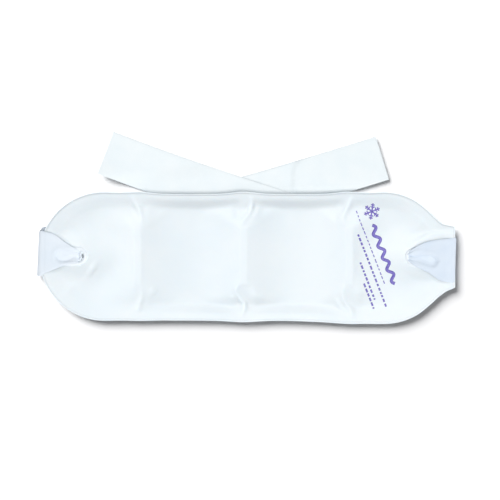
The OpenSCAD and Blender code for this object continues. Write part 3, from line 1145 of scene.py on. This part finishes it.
# ------------------------------------------------------------- floor, light, view
def make_floor():
    bpy.ops.mesh.primitive_plane_add(size=6, location=(0, 0, -0.3 * MM))
    floor = bpy.context.object
    floor.name = "floor"
    material, _, bsdf, _ = nodes_of("pale_floor")
    set_values(bsdf, {"Base Color": (0.93, 0.93, 0.935, 1), "Roughness": 0.9})
    floor.data.materials.append(material)
    return floor


def sun_light(name, toward, power, softness, receivers, tint=(1, 1, 1)):
    """A soft far light that reaches only the given things."""
    data = bpy.data.lights.new(name, "SUN")
    data.energy = power
    data.angle = softness
    data.color = tint
    light = in_scene(name, data)
    light.rotation_euler = (-Vector(toward)).to_track_quat("-Z", "Y").to_euler()
    light.light_linking.receiver_collection = receivers


# Where the camera is over the pad
CAMERA_X = 3.5
CAMERA_Y = 5.6
CAMERA_Z = 1106.5


def make_camera():
    """Looks straight down, as the photograph does."""
    data = bpy.data.cameras.new("camera")
    data.lens = 85
    data.sensor_width = 36
    camera = in_scene("camera", data)
    camera.location = (CAMERA_X * MM, (PAD_Y + CAMERA_Y) * MM, CAMERA_Z * MM)
    bpy.context.scene.camera = camera


def light_scene(floor, pieces):
    floor_only = bpy.data.collections.new("floor_only")
    floor_only.objects.link(floor)
    object_only = bpy.data.collections.new("object_only")
    for piece in pieces:
        object_only.objects.link(piece)
    world = bpy.data.worlds.new("studio")
    world.use_nodes = True
    background = world.node_tree.nodes["Background"]
    set_values(background, {"Color": (0.93, 0.955, 1, 1), "Strength": 0.1})
    bpy.context.scene.world = world
    warm, cool = (1, 0.985, 0.965), (0.93, 0.97, 1)
    sun_light("object_key", (0.26, -0.37, 1.0), 1.6, 0.75, object_only, warm)
    sun_light("object_fill", (0, 0, 1.0), 1.5, 2.4, object_only, cool)
    sun_light("floor_key", (-0.9, 0.95, 1.0), 4.75, 0.7, floor_only)
    sun_light("floor_fill", (0, 0, 1.0), 0.45, 2.4, floor_only)
    bpy.context.scene.view_settings.view_transform = "Standard"


# ---------------------------------------------------------------------- assembly
def finish_piece(piece, material, slot_name, *nodes):
    """Gives a piece its material, and hides the CAD nodes that it stands for. slot_name is not
    used.
    """
    piece.data.materials.clear()
    piece.data.materials.append(material)
    if nodes:
        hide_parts(*nodes)
    return piece


def bend_at(piece):
    """Bakes a piece's placement into its mesh."""
    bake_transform(piece)


def add_films(films):
    """Fronts first, then backs. The gel inside goes with the front films."""
    film = film_material()
    for k, piece in enumerate(films):
        zone = k % 3
        kind = "front_film" if k < 3 else "back_film"
        nodes = [f"{kind}_{n}" for n in OWNED[zone]]
        if k < 3:
            nodes += [f"gel_fill_{n}" for n in OWNED[zone]]
        finish_piece(piece, film, "film", *nodes)
        bend_at(piece)


def add_ends(shaded_knit):
    """The eyelet rings, and the strap from each of them round the pad's end."""
    bead = ring_material()
    pieces = []
    for side, word in ((-1, "left"), (1, "right")):
        ring = finish_piece(make_ring(side), bead, "eyelet", f"eyelet_ring_{word}")
        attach(ring, f"end_{word}")
        tail = RIGHT_TAIL if side < 0 else LEFT_TAIL
        level = REAR_Z if side < 0 else NEXT_Z
        line = wrap_line(side, centre_y(tail, side * WRAP_END), level)
        wrap = band(f"strap_over_{word}_end", line, STRAP_T / 2)
        # the strap round each end takes its own copy of the knit, darkened with painted shade
        finish_piece(wrap, shaded_knit[side > 0], "strap", f"strap_wrap_{word}")
        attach(wrap, f"end_{word}")
        pieces += [ring, wrap]
    return pieces


def strap_run(line, ends, kept):
    """Length of full-width strap in the part of a tail where kept says yes. It comes
    from the tail's middle line and the cuts across it, not from the mesh."""
    x = np.linspace(*ends, 1001)
    slope = centre_slope(line, x)
    n = np.hypot(1, slope)
    s = np.linspace(-0.49, 0.49, 50)[:, None] * STRAP_W
    inside = kept(x - s * slope / n, centre_y(line, x) + s / n)
    return (inside.mean(axis=0) * n).mean() * abs(ends[1] - ends[0])


def below_lift(fold, x, y):
    """Whether a place is on the held side of the cut before a lifting line."""
    n = fold_normal(fold)
    return (x - fold[0][0]) * n.x + (y - fold[0][1]) * n.y < -LIFT_BAND


def zone_run(line, ends, fold, start, end):
    """Length of the held part of a tail that lies between two cuts."""
    return strap_run(line, ends, lambda x, y: (x > start) & (x < end) & below_lift(fold, x, y))


def end_run(line, ends, fold):
    """Length of a tail's free end."""
    return strap_run(line, ends, lambda x, y: ~below_lift(fold, x, y))


def in_tab(x, y):
    return (y > at_fold(RIGHT_FOLD, x)) & (tab_in(x, y) > 0)


def tab_run():
    """The folded layer and the bend that joins it to the layer above."""
    ends = (TAB_START[0] - TAB_R, RIGHT_END_X)
    return strap_run(RIGHT_TAIL, ends, in_tab) + math.pi * FOLD_RISE / 2


def add_span(knit):
    """Top layer: straight behind the pad, from eyelet to eyelet."""
    whole = make_span()
    limits = [None, *CUTS, None]
    pieces = []
    for zone, word in enumerate(ZONES):
        piece = zone_copy(whole, f"strap_span_{word}", limits[zone], limits[zone + 1])
        finish_piece(piece, knit, "strap", *[f"strap_span_{n}" for n in OWNED[zone]])
        bend_at(piece)
        pieces.append(piece)
    bpy.data.objects.remove(whole)
    return pieces


def add_tail(word, knit, line, reach, z_of, fold):
    """A tail in four pieces: one to each of the pad's zones, and its free end. It
    leaves the pad's end at the first of reach, and stops at the second."""
    right = word == "right"
    whole = band("tail", tail_grid(line, *reach, z_of), STRAP_T / 2)
    end = free_end(whole, f"{word}_tail_free_end", fold)
    cut_off(whole, fold_foot(fold), fold_normal(fold))
    cuts = [None, *CUTS, None]
    order = [0, 1, 2] if right else [2, 1, 0]
    pieces = []
    for zone in order:
        name = f"{word}_tail_{ZONES[zone]}"
        pieces.append(zone_copy(whole, name, cuts[zone], cuts[zone + 1]))
    bpy.data.objects.remove(whole)
    for zone, piece in zip(order, pieces):
        finish_piece(piece, knit, "strap", f"{word}_tail_{zone + (1 if right else 2)}")
    finish_piece(end, knit, "strap", f"{word}_tail_end")
    bend_at(pieces[0])
    bend_at(pieces[1])
    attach(pieces[2], f"mid_{word}")
    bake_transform(end)
    ends = sorted(reach)
    limits = [ends[0], *CUTS, ends[1]]
    for zone, piece in sorted(zip(order, pieces), key=lambda pair: pair[0]):
        length = zone_run(line, ends, fold, limits[zone], limits[zone + 1])
    end_run(line, ends, fold)
    return [*pieces, end]


def add_right_tail(knit):
    """Lowest layer: from the left end, diagonally behind the pad to the right. Its
    folded-under end goes with it."""
    reach = (-WRAP_END, RIGHT_END_X)
    pieces = add_tail("right", knit, RIGHT_TAIL, reach, right_tail_z, RIGHT_FOLD)
    tab = finish_piece(make_tab(), knit, "strap", "right_tail_tab")
    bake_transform(tab)
    tab_run()
    return [*pieces, tab]


def add_left_tail(knit):
    """Middle layer: from the right end, diagonally behind the pad to the left."""
    reach = (WRAP_END, LEFT_END_X)
    return add_tail("left", knit, LEFT_TAIL, reach, left_tail_z, LEFT_FOLD)


def main():
    make_camera()
    films = make_films()
    knit = strap_material("strap_knit", (0.87, 0.93, 0.955), (0.905, 0.95, 0.965))
    # Darker, bluer copies of the knit for the strap over each end, the right one darker still:
    # painted shade, since the strap is one colour throughout
    shaded_knit = [
        strap_material("painted_shade_knit_left", (0.79, 0.86, 0.935), (0.83, 0.885, 0.95)),
        strap_material("painted_shade_knit_right", (0.73, 0.815, 0.925), (0.775, 0.85, 0.94)),
    ]
    add_films(films)
    pieces = films + add_ends(shaded_knit) + add_span(knit)
    pieces += add_right_tail(knit) + add_left_tail(knit)
    patch = finish_piece(make_hook_patch(), hook_material(), "hook", "hook_patch")
    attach(patch, "right_tab")
    marks = finish_piece(make_print(films[2]), ink_material(), "film")
    bend_at(marks)
    pieces += [patch, marks]
    floor = make_floor()
    light_scene(floor, pieces)


main()
